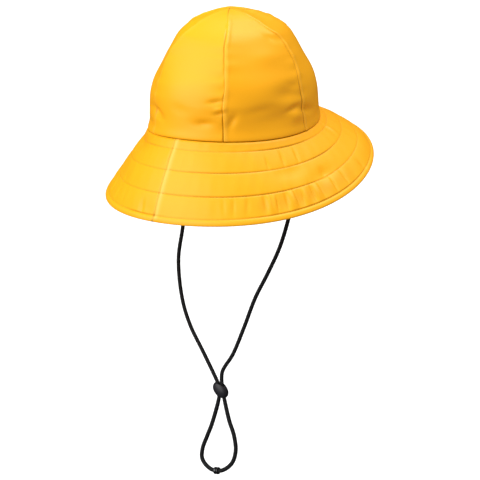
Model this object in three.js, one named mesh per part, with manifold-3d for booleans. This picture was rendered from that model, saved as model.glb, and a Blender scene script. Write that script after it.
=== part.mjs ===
// Sou'wester rain hat: a crown of six sewn panels, a wide brim longest at the back, and a round elastic
// chin cord with an oval toggle and a crimp bead. The cord hangs from two tabs inside the crown seam.
// Millimetres. +Z is up, +Y is the back of the head and +X is the wearer's left. The origin is the
// middle of the head opening. Azimuths are in degrees, 0 at the wearer's left and 90 at the back.

import * as THREE from 'three';
import { mergeVertices } from 'three/addons/utils/BufferGeometryUtils.js';
import Module from 'manifold-3d';

// Head opening: half sizes of the crown's foot outside, and the height of its seam above the origin
const headHalfWidth = 88;
const headHalfLength = 105.8;
const seamLevelBack = -3;
const seamLevelSide = -3.4;
const seamLevelFront = 9.9;

// Crown
const crownHeight = 126.2;
const crownWall = 1.2;
const crownTurn = 3.5;
const crownLeanLeft = 3;
const crownLeanBack = 3.5;
const crownDentDepth = 3;
const panelGap = 0.3;

// Brim: its width along the slope, and its slope below level in degrees at the seam and at the edge
const brimThickness = 2.2;
const brimWidthBack = 92;
const brimWidthSide = 84.3;
const brimWidthFront = 63.5;
const seamSlopeBack = 57;
const seamSlopeSide = 42.6;
const seamSlopeFront = 11.4;
const edgeSlopeBack = 67.5;
const edgeSlopeSide = 49.1;
const edgeSlopeFront = 35.1;
const brimJoinGap = 0.3;
const brimDentDepth = 2.5;

// Cord tabs
const tabWidth = 11;
const tabThickness = 5;
const tabAboveSeam = 4;
const tabBelowSeam = 10;
const tabCornerRadius = 1.2;
const tabForward = 10;
const tabClearance = 0.5;

// Cord, toggle and crimp bead
const cordDiameter = 4.6;
const cordClearance = 0.35;
const toggleLength = 21.7;
const toggleHeight = 16.1;
const toggleDepth = 12;
const toggleTilt = 41;
const toggleSlotSpacing = 6.8;
const toggleSlotLean = 9;
const beadDiameter = 8.8;
const beadLength = 5.8;
const beadRounding = 1.4;

// Crown sections from the foot to the top, evenly spaced along the wall. rise is a share of the height
// above the seam and reach a share of the head opening. flat is how far a panel is drawn in between its
// two seams, from 0, round, to 1, flat.
const crownSections = [
  { rise: 0, reach: 1, flat: 0 },
  { rise: 0.141, reach: 0.99, flat: 0.01 },
  { rise: 0.281, reach: 0.983, flat: 0.03 },
  { rise: 0.419, reach: 0.947, flat: 0.13 },
  { rise: 0.551, reach: 0.879, flat: 0.38 },
  { rise: 0.675, reach: 0.791, flat: 0.54 },
  { rise: 0.788, reach: 0.68, flat: 0.6 },
  { rise: 0.868, reach: 0.53, flat: 0.59 },
  { rise: 0.935, reach: 0.363, flat: 0.56 },
  { rise: 0.977, reach: 0.188, flat: 0.52 },
  { rise: 1, reach: 0.012, flat: 0.5 },
];

// Crown panels, each from its first seam's azimuth, counted from the crown's turn
const crownPanels = [
  { name: 'gore_back_left', from: 0 },
  { name: 'gore_back', from: 60 },
  { name: 'gore_back_right', from: 120 },
  { name: 'gore_front_right', from: 180 },
  { name: 'gore_front', from: 240 },
  { name: 'gore_front_left', from: 300 },
];

// Dents of the crown: rise and spanUp are shares of its height, depth a share of crownDentDepth
const crownDents = [
  { azimuth: 170, rise: 0.345, spanAround: 11, spanUp: 0.065, depth: 0.9 },
  { azimuth: 158, rise: 0.165, spanAround: 19, spanUp: 0.095, depth: 0.8 },
  { azimuth: 176, rise: 0.15, spanAround: 5, spanUp: 0.045, depth: -0.6 },
  { azimuth: 110, rise: 0.135, spanAround: 8, spanUp: 0.04, depth: 0.5 },
  { azimuth: 60, rise: 0.2, spanAround: 16, spanUp: 0.085, depth: 0.7 },
  { azimuth: 56, rise: 0.44, spanAround: 14, spanUp: 0.13, depth: 0.7 },
  { azimuth: 40, rise: 0.64, spanAround: 14, spanUp: 0.12, depth: 0.4 },
  { azimuth: 52, rise: 0.86, spanAround: 14, spanUp: 0.07, depth: -0.4 },
  { azimuth: 45, rise: 0.95, spanAround: 20, spanUp: 0.05, depth: 0.6 },
  { azimuth: 53, rise: 0.07, spanAround: 12, spanUp: 0.05, depth: 0.8 },
  { azimuth: 200, rise: 0.94, spanAround: 24, spanUp: 0.06, depth: 0.6 },
  { azimuth: 228, rise: 0.78, spanAround: 17, spanUp: 0.15, depth: -0.75 },
  { azimuth: 235, rise: 0.3, spanAround: 15, spanUp: 0.09, depth: 0.5 },
  { azimuth: 310, rise: 0.2, spanAround: 14, spanUp: 0.07, depth: 0.6 },
];

// Dents of the brim: across and spanAcross are shares of its width, depth a share of brimDentDepth
const brimDents = [
  { azimuth: 158, across: 0.46, spanAround: 9, spanAcross: 0.07, depth: 0.4 },
  { azimuth: 176, across: 0.62, spanAround: 8, spanAcross: 0.08, depth: 0.6 },
  { azimuth: 86, across: 0.88, spanAround: 5, spanAcross: 0.1, depth: 0.5 },
  { azimuth: 50, across: 0.13, spanAround: 14, spanAcross: 0.12, depth: 1.4 },
  { azimuth: 48, across: 0.6, spanAround: 12, spanAcross: 0.2, depth: 0.6 },
  { azimuth: 215, across: 0.75, spanAround: 14, spanAcross: 0.2, depth: -0.7 },
  { azimuth: 282, across: 0.8, spanAround: 20, spanAcross: 0.2, depth: 0.8 },
];

// Route of the cord: from the left tab down through the toggle, round the loop and through the bead,
// then back up through the toggle to the right tab
const cordRoute = [
  [82.3, -17.7, -12.4],
  [80.5, -14.4, -62],
  [79.1, -10.8, -106],
  [80.0, -7.9, -134],
  [84.9, -5.2, -174],
  [77.6, -2.1, -220],
  [65.1, -0.1, -249],
  [43.8, 2.0, -279],
  [27.4, 3.8, -302],
  [21.5, 4.6, -311],
  [21.0, 4.6, -315],
  [20.0, 4.6, -323],
  [19.5, 4.6, -327.5],
  [27.4, 7.4, -361],
  [34.5, 8.7, -380],
  [40.3, 9.6, -396],
  [40.6, 10.4, -408],
  [35.2, 11.0, -414.6],
  [27.5, 11.2, -418.4],
  [21.6, 11.2, -419.0],
  [15.0, 11.2, -417.9],
  [10.3, 11.2, -416.0],
  [3.0, 10.8, -410.8],
  [-4.2, 10.0, -401.5],
  [-7.4, 9.0, -387],
  [-4.1, 7.8, -370],
  [3.9, 6.4, -353],
  [12.4, 4.6, -327.5],
  [13.25, 4.6, -323],
  [14.75, 4.6, -315],
  [15.5, 4.6, -311],
  [15.8, 3.3, -297],
  [1.9, 1.5, -273],
  [-12.3, -0.9, -238],
  [-26.1, -3.3, -201],
  [-41.6, -5.4, -170],
  [-56.0, -7.5, -138],
  [-65.9, -9.9, -104],
  [-77.2, -14.9, -50],
  [-82.3, -17.7, -12.4],
];
const toggleRun = { first: 10, last: 11 };
const returnRun = { first: 28, last: 29 };
const beadRun = { first: 19, last: 20 };

// Mesh steps
const panelSteps = 10;
const panelRows = 16;
const brimSteps = 80;
const brimRows = 9;
const cordSides = 8;
const stepsPerRoutePoint = 2;
const roundSteps = 24;
const cornerSteps = 3;

const waterproofYellow = new THREE.MeshStandardMaterial({ color: 0xf6b61c, roughness: 0.5, metalness: 0 });
const shadedYellow = new THREE.MeshStandardMaterial({ color: 0xefaa12, roughness: 0.5, metalness: 0 });
const blackElastic = new THREE.MeshStandardMaterial({ color: 0x1b1b1e, roughness: 0.85, metalness: 0 });
const toggleBlack = new THREE.MeshStandardMaterial({ color: 0x34333a, roughness: 0.5, metalness: 0 });
const beadBlack = new THREE.MeshStandardMaterial({ color: 0x202024, roughness: 0.3, metalness: 0 });

const radians = THREE.MathUtils.degToRad;

// A value that is stated at the back, the sides and the front, at any angle between them
function aroundHead(angle, back, side, front) {
  const ends = (back + front) / 2;
  const tilt = (back - front) / 2;
  return (ends + side) / 2 + tilt * Math.sin(angle) + ((side - ends) / 2) * Math.cos(2 * angle);
}

// A column of the crown's table at a share of the way up its wall, on a smooth line through the rows
function crownColumn(column, along) {
  const points = crownSections.map((row, index) => new THREE.Vector2(index, row[column]));
  return new THREE.SplineCurve(points).getPoint(along).y;
}

// A soft hollow: deepest at its middle and fading out over its span both ways
function dentAt(dents, azimuth, place, placeColumn, spanColumn) {
  return dents.reduce((sum, dent) => {
    const turn = THREE.MathUtils.euclideanModulo(azimuth - dent.azimuth + 180, 360) - 180;
    const around = turn / dent.spanAround;
    const other = (place - dent[placeColumn]) / dent[spanColumn];
    return sum + dent.depth * Math.exp(-around * around - other * other);
  }, 0);
}

// The seam between crown and brim
function seamPoint(angle) {
  const level = aroundHead(angle, seamLevelBack, seamLevelSide, seamLevelFront);
  return new THREE.Vector3(headHalfWidth * Math.cos(angle), headHalfLength * Math.sin(angle), level);
}

// The seam's outward direction in plan
function seamOutward(angle) {
  const x = headHalfLength * Math.cos(angle);
  const y = headHalfWidth * Math.sin(angle);
  return new THREE.Vector3(x, y, 0).normalize();
}

// The crown's outline in the upright plane at one angle: distance from the middle, and height
function crownOutline(angle, along) {
  const seam = seamPoint(angle);
  const offSeam = THREE.MathUtils.euclideanModulo(angle - radians(crownTurn), radians(60));
  const offMiddle = offSeam - radians(30);
  const flatness = crownColumn('flat', along) * (1 - Math.cos(radians(30)) / Math.cos(offMiddle));
  const distance = Math.hypot(seam.x, seam.y) * crownColumn('reach', along) * (1 - flatness);
  const height = THREE.MathUtils.lerp(seam.z, crownHeight, crownColumn('rise', along));
  return new THREE.Vector2(distance, height);
}

// A point of the crown, inset from its outer face and dented, within the upright plane at its angle
function crownPoint(angle, along, inset) {
  const step = 0.01;
  const lower = crownOutline(angle, Math.max(along - step, 0));
  const upper = crownOutline(angle, Math.min(along + step, 1));
  const inward = new THREE.Vector2(lower.y - upper.y, upper.x - lower.x).normalize();
  const outline = crownOutline(angle, along);
  const rise = crownColumn('rise', along);
  const dent = dentAt(crownDents, THREE.MathUtils.radToDeg(angle), rise, 'rise', 'spanUp');
  outline.addScaledVector(inward, inset + crownDentDepth * dent);
  const seam = seamPoint(angle);
  const share = outline.x / Math.hypot(seam.x, seam.y);
  const leanShare = rise * rise;
  return new THREE.Vector3(
    seam.x * share + crownLeanLeft * leanShare,
    seam.y * share + crownLeanBack * leanShare,
    outline.y,
  );
}

// The turn that keeps half a panel gap beside a crown seam, measured at the wall's inner face
function halfGapTurn(angle, along) {
  const seam = seamPoint(angle);
  const inner = crownPoint(angle, along, crownWall);
  const leanShare = crownColumn('rise', along) ** 2;
  const radius = Math.hypot(inner.x - crownLeanLeft * leanShare, inner.y - crownLeanBack * leanShare);
  const seamSquared = seam.x * seam.x + seam.y * seam.y;
  return ((panelGap / 2) * seamSquared) / (headHalfWidth * headHalfLength * radius);
}

// A point of the brim: its slope turns evenly from the seam to the edge, and depth goes into the cloth
function brimPoint(angle, across, depth) {
  const seamSlope = radians(aroundHead(angle, seamSlopeBack, seamSlopeSide, seamSlopeFront));
  const edgeSlope = radians(aroundHead(angle, edgeSlopeBack, edgeSlopeSide, edgeSlopeFront));
  const width = aroundHead(angle, brimWidthBack, brimWidthSide, brimWidthFront);
  const halfBend = ((edgeSlope - seamSlope) * across) / 2;
  const chord = halfBend === 0 ? width * across : (width * across * Math.sin(halfBend)) / halfBend;
  const slope = seamSlope + 2 * halfBend;
  const azimuth = THREE.MathUtils.radToDeg(angle);
  const dent = brimDentDepth * dentAt(brimDents, azimuth, across, 'across', 'spanAcross');
  const into = depth + dent * Math.min(1, across * 6);
  const out = chord * Math.cos(seamSlope + halfBend) - into * Math.sin(slope);
  const down = chord * Math.sin(seamSlope + halfBend) + into * Math.cos(slope);
  return seamPoint(angle).addScaledVector(seamOutward(angle), out).setZ(seamPoint(angle).z - down);
}

// A closed wall between an outer and an inner grid of points
function wallBetween(outer, inner) {
  const columns = outer.length;
  const rows = outer[0].length;
  const points = [...outer.flat(), ...inner.flat()];
  const outside = (i, j) => i * rows + j;
  const inside = (i, j) => columns * rows + i * rows + j;
  const faces = [];
  const quad = (a, b, c, d) => faces.push(a, b, c, a, c, d);
  for (let i = 0; i < columns - 1; i += 1) {
    for (let j = 0; j < rows - 1; j += 1) {
      quad(outside(i, j), outside(i + 1, j), outside(i + 1, j + 1), outside(i, j + 1));
      quad(inside(i, j), inside(i, j + 1), inside(i + 1, j + 1), inside(i + 1, j));
    }
    quad(outside(i, 0), inside(i, 0), inside(i + 1, 0), outside(i + 1, 0));
    quad(outside(i, rows - 1), outside(i + 1, rows - 1), inside(i + 1, rows - 1), inside(i, rows - 1));
  }
  for (let j = 0; j < rows - 1; j += 1) {
    quad(outside(0, j), outside(0, j + 1), inside(0, j + 1), inside(0, j));
    quad(outside(columns - 1, j), inside(columns - 1, j), inside(columns - 1, j + 1), outside(columns - 1, j + 1));
  }
  const geometry = new THREE.BufferGeometry();
  geometry.setAttribute('position', new THREE.Float32BufferAttribute(points.flatMap((p) => p.toArray()), 3));
  geometry.setIndex(faces);
  return geometry;
}

// Evenly spaced shares from one value to another
function spread(from, to, steps) {
  return Array.from({ length: steps + 1 }, (_, index) => from + ((to - from) * index) / steps);
}

// One sewn crown panel, a curved wall between two seams, standing a gap above the brim
function crownPanel(from) {
  const first = radians(crownTurn + from);
  const last = first + radians(60);
  const grid = (inset) => spread(0, 1, panelSteps).map((across) => spread(0, 1, panelRows).map((along) => {
    const start = first + halfGapTurn(first, along);
    const end = last - halfGapTurn(last, along);
    const point = crownPoint(THREE.MathUtils.lerp(start, end, across), along, inset);
    return along === 0 ? point.setZ(point.z + panelGap) : point;
  }));
  return wallBetween(grid(0), grid(crownWall));
}

// The brim: a wall round the head opening, whose two ends meet in the sewn join at the back. Its first
// strip is the ledge that the crown stands on.
function brimRing() {
  const joinTurn = brimJoinGap / 2 / headHalfWidth;
  const angles = spread(radians(450) - joinTurn, radians(90) + joinTurn, brimSteps);
  const shares = spread(0, 1, brimRows);
  const outer = angles.map((angle) => [
    seamPoint(angle).addScaledVector(seamOutward(angle), -crownWall),
    ...shares.map((across) => brimPoint(angle, across, 0)),
  ]);
  const inner = angles.map((angle, index) => {
    const underside = shares.map((across) => brimPoint(angle, across, brimThickness));
    return [outer[index][0].clone().lerp(underside[0], 0.5), ...underside];
  });
  return wallBetween(outer, inner);
}

// A folded fabric tab that holds one end of the cord, flat against the crown's inner face
function cordTab(angle) {
  const halfWidth = tabWidth / 2;
  const halfThickness = tabThickness / 2;
  const outline = new THREE.Shape();
  const x = halfWidth - tabCornerRadius;
  const y = halfThickness - tabCornerRadius;
  outline.absarc(x, y, tabCornerRadius, 0, Math.PI / 2);
  outline.absarc(-x, y, tabCornerRadius, Math.PI / 2, Math.PI);
  outline.absarc(-x, -y, tabCornerRadius, Math.PI, 1.5 * Math.PI);
  outline.absarc(x, -y, tabCornerRadius, 1.5 * Math.PI, 2 * Math.PI);
  outline.closePath();
  const depth = tabAboveSeam + tabBelowSeam;
  const geometry = new THREE.ExtrudeGeometry(outline, { depth, bevelEnabled: false, curveSegments: cornerSteps });
  const outward = seamOutward(angle);
  const seamSlope = radians(aroundHead(angle, seamSlopeBack, seamSlopeSide, seamSlopeFront));
  const standoff = Math.max(crownWall, brimThickness * Math.sin(seamSlope)) + tabClearance;
  const place = seamPoint(angle).addScaledVector(outward, -(standoff + halfThickness));
  geometry.rotateZ(Math.atan2(outward.y, outward.x) - Math.PI / 2);
  geometry.translate(place.x, place.y, place.z - tabBelowSeam);
  return geometry;
}

const routePoints = cordRoute.map((point) => new THREE.Vector3(...point));

// The cord's tube. Its rings stand at the route's points and halfway between them.
function cordTube() {
  const route = new THREE.CatmullRomCurve3(routePoints, false, 'centripetal');
  route.getUtoTmapping = (share) => share;
  const corners = spread(0, 2 * Math.PI, cordSides).slice(0, -1);
  const radius = cordDiameter / 2;
  const section = new THREE.Shape(corners.map((turn) => {
    return new THREE.Vector2(radius * Math.cos(turn), radius * Math.sin(turn));
  }));
  const steps = stepsPerRoutePoint * (routePoints.length - 1);
  return new THREE.ExtrudeGeometry(section, { steps, bevelEnabled: false, extrudePath: route });
}

const wasm = await Module();
wasm.setup();

// A closed geometry as a solid that can be cut
function toSolid(geometry) {
  const bare = geometry.clone();
  bare.deleteAttribute('normal');
  bare.deleteAttribute('uv');
  const merged = mergeVertices(bare, 1e-4);
  const mesh = new wasm.Mesh({
    numProp: 3,
    vertProperties: new Float32Array(merged.attributes.position.array),
    triVerts: new Uint32Array(merged.index.array),
  });
  return new wasm.Manifold(mesh);
}

function toGeometry(solid) {
  const mesh = solid.getMesh();
  const geometry = new THREE.BufferGeometry();
  geometry.setAttribute('position', new THREE.Float32BufferAttribute(mesh.vertProperties, 3));
  geometry.setIndex([...mesh.triVerts]);
  return geometry;
}

// The middle of a straight run of the cord
function runMiddle(run) {
  return routePoints[run.first].clone().add(routePoints[run.last]).multiplyScalar(0.5);
}

// The toggle: an oval bead with one long slot that both strands pass through side by side
function cordToggle() {
  const middle = runMiddle(toggleRun).add(runMiddle(returnRun)).multiplyScalar(0.5);
  const body = new THREE.SphereGeometry(1, roundSteps, roundSteps / 2);
  body.scale(toggleLength / 2, toggleDepth / 2, toggleHeight / 2);
  body.rotateY(radians(-toggleTilt));
  const halfSpacing = toggleSlotSpacing / 2;
  const radius = cordDiameter / 2 + cordClearance;
  const outline = new THREE.Shape();
  outline.absarc(halfSpacing, 0, radius, -Math.PI / 2, Math.PI / 2);
  outline.absarc(-halfSpacing, 0, radius, Math.PI / 2, 1.5 * Math.PI);
  outline.closePath();
  const depth = 2 * toggleLength;
  const slot = new THREE.ExtrudeGeometry(outline, { depth, bevelEnabled: false, curveSegments: 8 });
  slot.translate(0, 0, -toggleLength);
  slot.rotateY(radians(toggleSlotLean));
  const geometry = toGeometry(toSolid(body).subtract(toSolid(slot)));
  return geometry.translate(middle.x, middle.y, middle.z);
}

// The crimp bead: a rounded ring round the lowest run of the loop
function crimpBead() {
  const bore = cordDiameter / 2 + cordClearance;
  const radius = beadDiameter / 2;
  const half = beadLength / 2;
  const outer = new THREE.Path();
  outer.moveTo(bore, -half);
  outer.lineTo(radius - beadRounding, -half);
  outer.absarc(radius - beadRounding, -half + beadRounding, beadRounding, -Math.PI / 2, 0);
  outer.absarc(radius - beadRounding, half - beadRounding, beadRounding, 0, Math.PI / 2);
  outer.lineTo(bore, half);
  outer.closePath();
  const profile = outer.getPoints(cornerSteps);
  const geometry = new THREE.LatheGeometry(profile, roundSteps);
  const direction = routePoints[beadRun.last].clone().sub(routePoints[beadRun.first]).normalize();
  const turn = new THREE.Quaternion().setFromUnitVectors(new THREE.Vector3(0, 1, 0), direction);
  geometry.applyQuaternion(turn);
  const middle = runMiddle(beadRun);
  return geometry.translate(middle.x, middle.y, middle.z);
}

// A named mesh of the hat
function piece(name, geometry, material) {
  const mesh = new THREE.Mesh(geometry, material);
  mesh.name = name;
  return mesh;
}

const crown = new THREE.Group();
crownPanels.forEach((panel) => {
  crown.add(piece(panel.name, crownPanel(panel.from), waterproofYellow));
});

const chinCord = new THREE.Group();
chinCord.add(piece('cord_tab_left', cordTab(radians(-tabForward)), shadedYellow));
chinCord.add(piece('cord_tab_right', cordTab(radians(180 + tabForward)), shadedYellow));
chinCord.add(piece('chin_cord', cordTube(), blackElastic));
chinCord.add(piece('cord_toggle', cordToggle(), toggleBlack));
chinCord.add(piece('crimp_bead', crimpBead(), beadBlack));

const hat = new THREE.Group();
hat.add(crown);
hat.add(piece('brim', brimRing(), waterproofYellow));
hat.add(chinCord);

export default hat;
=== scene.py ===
import math

import bpy
import numpy as np
from mathutils import Matrix, Vector


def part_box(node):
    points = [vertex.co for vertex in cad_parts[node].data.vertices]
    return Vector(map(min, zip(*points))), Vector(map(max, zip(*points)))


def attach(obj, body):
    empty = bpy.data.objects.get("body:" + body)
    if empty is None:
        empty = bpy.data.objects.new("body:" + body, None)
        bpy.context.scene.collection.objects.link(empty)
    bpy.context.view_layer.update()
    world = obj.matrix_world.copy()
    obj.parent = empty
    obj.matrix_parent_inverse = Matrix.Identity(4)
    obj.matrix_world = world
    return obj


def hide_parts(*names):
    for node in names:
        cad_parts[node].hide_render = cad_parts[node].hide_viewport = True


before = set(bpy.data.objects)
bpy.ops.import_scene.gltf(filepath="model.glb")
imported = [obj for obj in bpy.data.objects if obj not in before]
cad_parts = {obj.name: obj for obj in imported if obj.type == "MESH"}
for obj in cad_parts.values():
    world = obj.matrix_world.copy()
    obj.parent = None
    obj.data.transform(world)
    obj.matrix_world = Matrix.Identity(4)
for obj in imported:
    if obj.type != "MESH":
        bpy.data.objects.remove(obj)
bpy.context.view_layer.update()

scene = bpy.context.scene
scene.view_settings.view_transform = "Standard"


# The view: from behind the wearer's right ear and a little above the brim, through a long lens, with
# the crown and the whole chin cord upright in a square picture.
view_azimuth = math.radians(215.43)
view_elevation = math.radians(15.0)
view_distance = 1.7
picture_width = 480
focal_length_in_pixels = 1505
sensor_width = 36
aim_right = 0.0058
aim_height = -0.1366

view_back = Vector((
    math.sin(view_azimuth) * math.cos(view_elevation),
    -math.cos(view_azimuth) * math.cos(view_elevation),
    math.sin(view_elevation),
))
view_right = Vector((math.cos(view_azimuth), math.sin(view_azimuth), 0))
view_up = view_back.cross(view_right)
view_aim = aim_right * view_right + Vector((0, 0, aim_height))

camera_data = bpy.data.cameras.new("camera")
camera_data.sensor_fit = "HORIZONTAL"
camera_data.sensor_width = sensor_width
camera_data.lens = focal_length_in_pixels / picture_width * sensor_width
camera_data.clip_end = 400
camera = bpy.data.objects.new("camera", camera_data)
camera_turn = Matrix((view_right, view_up, view_back)).transposed().to_4x4()
camera.matrix_world = Matrix.Translation(view_aim + view_distance * view_back) @ camera_turn
scene.collection.objects.link(camera)
scene.camera = camera


# The studio: a wide pale floor well below the hanging cord, a faint white room, a broad soft light
# from the left of the camera, and another from above. The floor isn't mirrored in the hat and throws
# no light up at it, so the shaded cloth keeps its deep yellow.
floor_height = -1.6
floor_half_size = 250
room_brightness = 0.48


def fill(node, values):
    """Give each of a node's inputs its value, or join it to the output that is given for it."""
    for name, value in values.items():
        if isinstance(value, bpy.types.NodeSocket):
            node.id_data.links.new(value, node.inputs[name])
        else:
            node.inputs[name].default_value = value


def add_node(tree, kind, values=None):
    """A new shader node of a kind, with its inputs filled."""
    node = tree.nodes.new("ShaderNode" + kind)
    fill(node, values or {})
    return node


def new_material(name):
    """A node material, its node tree and its Principled shader."""
    material = bpy.data.materials.new(name)
    material.use_nodes = True
    return material, material.node_tree, material.node_tree.nodes["Principled BSDF"]


def new_piece(name, material, points, faces, uv=None, masks=None):
    """A mesh object from an array of points and its faces, with a UV pair and masks for each point."""
    mesh = bpy.data.meshes.new(name)
    faces = faces if isinstance(faces, list) else faces.tolist()
    mesh.from_pydata(points.tolist(), [], faces)
    if uv is not None:
        corners = np.empty(len(mesh.loops), np.int32)
        mesh.loops.foreach_get("vertex_index", corners)
        layer = mesh.uv_layers.new(name="UVMap")
        layer.data.foreach_set("uv", np.asarray(uv, np.float32)[corners].ravel())
    for mask, values in (masks or {}).items():
        mesh.attributes.new(mask, "FLOAT", "POINT").data.foreach_set("value", values.ravel())
    mesh.polygons.foreach_set("use_smooth", np.full(len(mesh.polygons), True))
    mesh.materials.append(material)
    piece = bpy.data.objects.new(name, mesh)
    scene.collection.objects.link(piece)
    return piece


floor_finish, tree, shader = new_material("pale_floor")
speckle = add_node(tree, "TexNoise", {"Scale": 3})
tint = add_node(tree, "ValToRGB", {"Fac": speckle.outputs["Fac"]})
tint.color_ramp.elements[0].color = (0.84, 0.84, 0.84, 1)
tint.color_ramp.elements[1].color = (0.88, 0.88, 0.88, 1)
fill(shader, {"Base Color": tint.outputs["Color"], "Roughness": 0.9, "Specular IOR Level": 0.1})

floor_corners = floor_half_size * np.array([[-1, -1, 0], [1, -1, 0], [1, 1, 0], [-1, 1, 0]])
floor = new_piece("floor", floor_finish, floor_corners + [0, 0, floor_height], [[0, 1, 2, 3]])
floor.visible_glossy = False
floor.visible_diffuse = False

room = bpy.data.worlds.new("white_room")
room.use_nodes = True
fill(room.node_tree.nodes["Background"], {"Color": (1, 1, 1, 1), "Strength": room_brightness})
room.cycles_visibility.glossy = False
scene.world = room


def soft_light(name, toward, strength, spread):
    """A light as wide as its spread in degrees, which comes from a direction."""
    data = bpy.data.lights.new(name, "SUN")
    data.energy = strength
    data.angle = math.radians(spread)
    light = bpy.data.objects.new(name, data)
    light.rotation_euler = toward.to_track_quat("Z", "Y").to_euler()
    scene.collection.objects.link(light)


key_way = -0.69 * view_right + 0.31 * view_up + 0.65 * view_back
soft_light("soft_key", key_way, strength=2.8, spread=66)
soft_light("top_light", Vector((-0.13, -0.23, 0.96)), strength=2.5, spread=50)


# The chin cord: a round black elastic cord, 4.6 mm thick, braided over rubber strands. Each end is
# sewn into a tab beside an ear. Both strands pass the toggle, and the loop below carries a bead.
cord_diameter = 0.0046
cord_route = [
    (0.0823, -0.0177, -0.0124),
    (0.0805, -0.0144, -0.0620),
    (0.0791, -0.0108, -0.1060),
    (0.0800, -0.0079, -0.1340),
    (0.0849, -0.0052, -0.1740),
    (0.0776, -0.0021, -0.2200),
    (0.0651, -0.0001, -0.2490),
    (0.0438, 0.0020, -0.2790),
    (0.0274, 0.0038, -0.3020),
    (0.0215, 0.0046, -0.3110),
    (0.0210, 0.0046, -0.3150),
    (0.0200, 0.0046, -0.3230),
    (0.0195, 0.0046, -0.3275),
    (0.0274, 0.0074, -0.3610),
    (0.0345, 0.0087, -0.3800),
    (0.0403, 0.0096, -0.3960),
    (0.0406, 0.0104, -0.4080),
    (0.0352, 0.0110, -0.4146),
    (0.0275, 0.0112, -0.4184),
    (0.0216, 0.0112, -0.4190),
    (0.0150, 0.0112, -0.4179),
    (0.0103, 0.0112, -0.4160),
    (0.0030, 0.0108, -0.4108),
    (-0.0042, 0.0100, -0.4015),
    (-0.0074, 0.0090, -0.3870),
    (-0.0041, 0.0078, -0.3700),
    (0.0039, 0.0064, -0.3530),
    (0.0124, 0.0046, -0.3275),
    (0.01325, 0.0046, -0.3230),
    (0.01475, 0.0046, -0.3150),
    (0.0155, 0.0046, -0.3110),
    (0.0158, 0.0033, -0.2970),
    (0.0019, 0.0015, -0.2730),
    (-0.0123, -0.0009, -0.2380),
    (-0.0261, -0.0033, -0.2010),
    (-0.0416, -0.0054, -0.1700),
    (-0.0560, -0.0075, -0.1380),
    (-0.0659, -0.0099, -0.1040),
    (-0.0772, -0.0149, -0.0500),
    (-0.0823, -0.0177, -0.0124),
]
cord_plane_normal = np.array([0, 1, 0.067])
cord_rings_per_point = 24
cord_sides = 24
braid_strands = 6
braid_pitch = 0.0024
braid_relief = 0.00009
# painted shade in the braid's hollows and a painted highlight on its raised crossings
braid_hollow_shade = (0.002, 0.002, 0.0025, 1)
braid_crossing_highlight = (0.009, 0.009, 0.010, 1)
# the loop below the toggle hangs slack, so the cord is fuller there than in the strands above
slack_from = -0.326
slack_over = 0.012
slack_swell = 0.09


def smooth_route(points, steps):
    """A smooth curve through the points: each stretch is the cubic through its two points whose end
    directions come from the neighbours, weighed by the roots of the distances."""
    p = np.asarray(points, float)
    p = np.vstack([2 * p[0] - p[1], p, 2 * p[-1] - p[-2]])
    gap = np.sqrt(np.linalg.norm(np.diff(p, axis=0), axis=1))[:, None]
    before, here, after = gap[:-2], gap[1:-1], gap[2:]
    p0, p1, p2, p3 = p[:-3], p[1:-2], p[2:-1], p[3:]
    leave = here * ((p1 - p0) / before - (p2 - p0) / (before + here) + (p2 - p1) / here)
    arrive = here * ((p2 - p1) / here - (p3 - p1) / (here + after) + (p3 - p2) / after)
    t = np.linspace(0, 1, steps, endpoint=False)[None, :, None]
    p1, p2, leave, arrive = (a[:, None, :] for a in (p1, p2, leave, arrive))
    curve = p1 + leave * t + (3 * (p2 - p1) - 2 * leave - arrive) * t**2
    curve = curve + (2 * (p1 - p2) + leave + arrive) * t**3
    return np.vstack([curve.reshape(-1, 3), p[-2]])


def unit(vectors):
    """Vectors of length one."""
    return vectors / np.linalg.norm(vectors, axis=-1, keepdims=True)


def strip_faces(first, second, closed):
    """Quads between two neighbouring rows of point numbers, going round if closed."""
    if closed:
        first = np.append(first, first[..., :1], axis=-1)
        second = np.append(second, second[..., :1], axis=-1)
    quads = np.stack([first[..., :-1], first[..., 1:], second[..., 1:], second[..., :-1]], -1)
    return quads.reshape(-1, 4)


def full_turn(count):
    """Even angles once round."""
    return np.linspace(0, 2 * np.pi, count, endpoint=False)


def grid_numbers(grid):
    """The number of each point of a grid."""
    return np.arange(grid[..., 0].size).reshape(grid.shape[:2])


def run_along(line):
    """How far along a line each of its points lies."""
    return np.append(0, np.cumsum(np.linalg.norm(np.diff(line, axis=0), axis=1)))


cord_line = smooth_route(cord_route, cord_rings_per_point)
cord_heading = unit(np.gradient(cord_line, axis=0))
cord_side = unit(np.cross(cord_plane_normal, cord_heading))
cord_front = np.cross(cord_heading, cord_side)
cord_run = run_along(cord_line)


def cord_tube():
    """Rings round the cord's line. The radius swells and sinks as the product of two waves, one round
    the cord and one along it, which raises the crossings of the braid, and it is fuller in the loop."""
    turn = full_turn(cord_sides)
    along = 2 * np.pi * cord_run[:, None] / braid_pitch
    relief = braid_relief * np.cos(braid_strands * turn) * np.cos(along)
    slack = np.clip((slack_from - cord_line[:, 2:]) / slack_over, 0, 1)
    radius = (cord_diameter / 2 * (1 + slack_swell * slack) + relief)[..., None]
    around = np.cos(turn)[:, None] * cord_side[:, None] + np.sin(turn)[:, None] * cord_front[:, None]
    rings = cord_line[:, None] + radius * around
    number = grid_numbers(rings)
    faces = strip_faces(number[:-1], number[1:], True).tolist()
    faces += [number[0, ::-1].tolist(), number[-1].tolist()]
    uv = np.stack(np.broadcast_arrays(turn / (2 * np.pi), cord_run[:, None]), -1)
    return rings.reshape(-1, 3), faces, uv.reshape(-1, 2)


def add_mix(tree, factor, first, second):
    """A colour between two others, by a factor."""
    mix = add_node(tree, "Mix")
    mix.data_type = "RGBA"
    fill(mix, {"Factor": factor, "A": first, "B": second})
    return mix.outputs["Result"]


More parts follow.
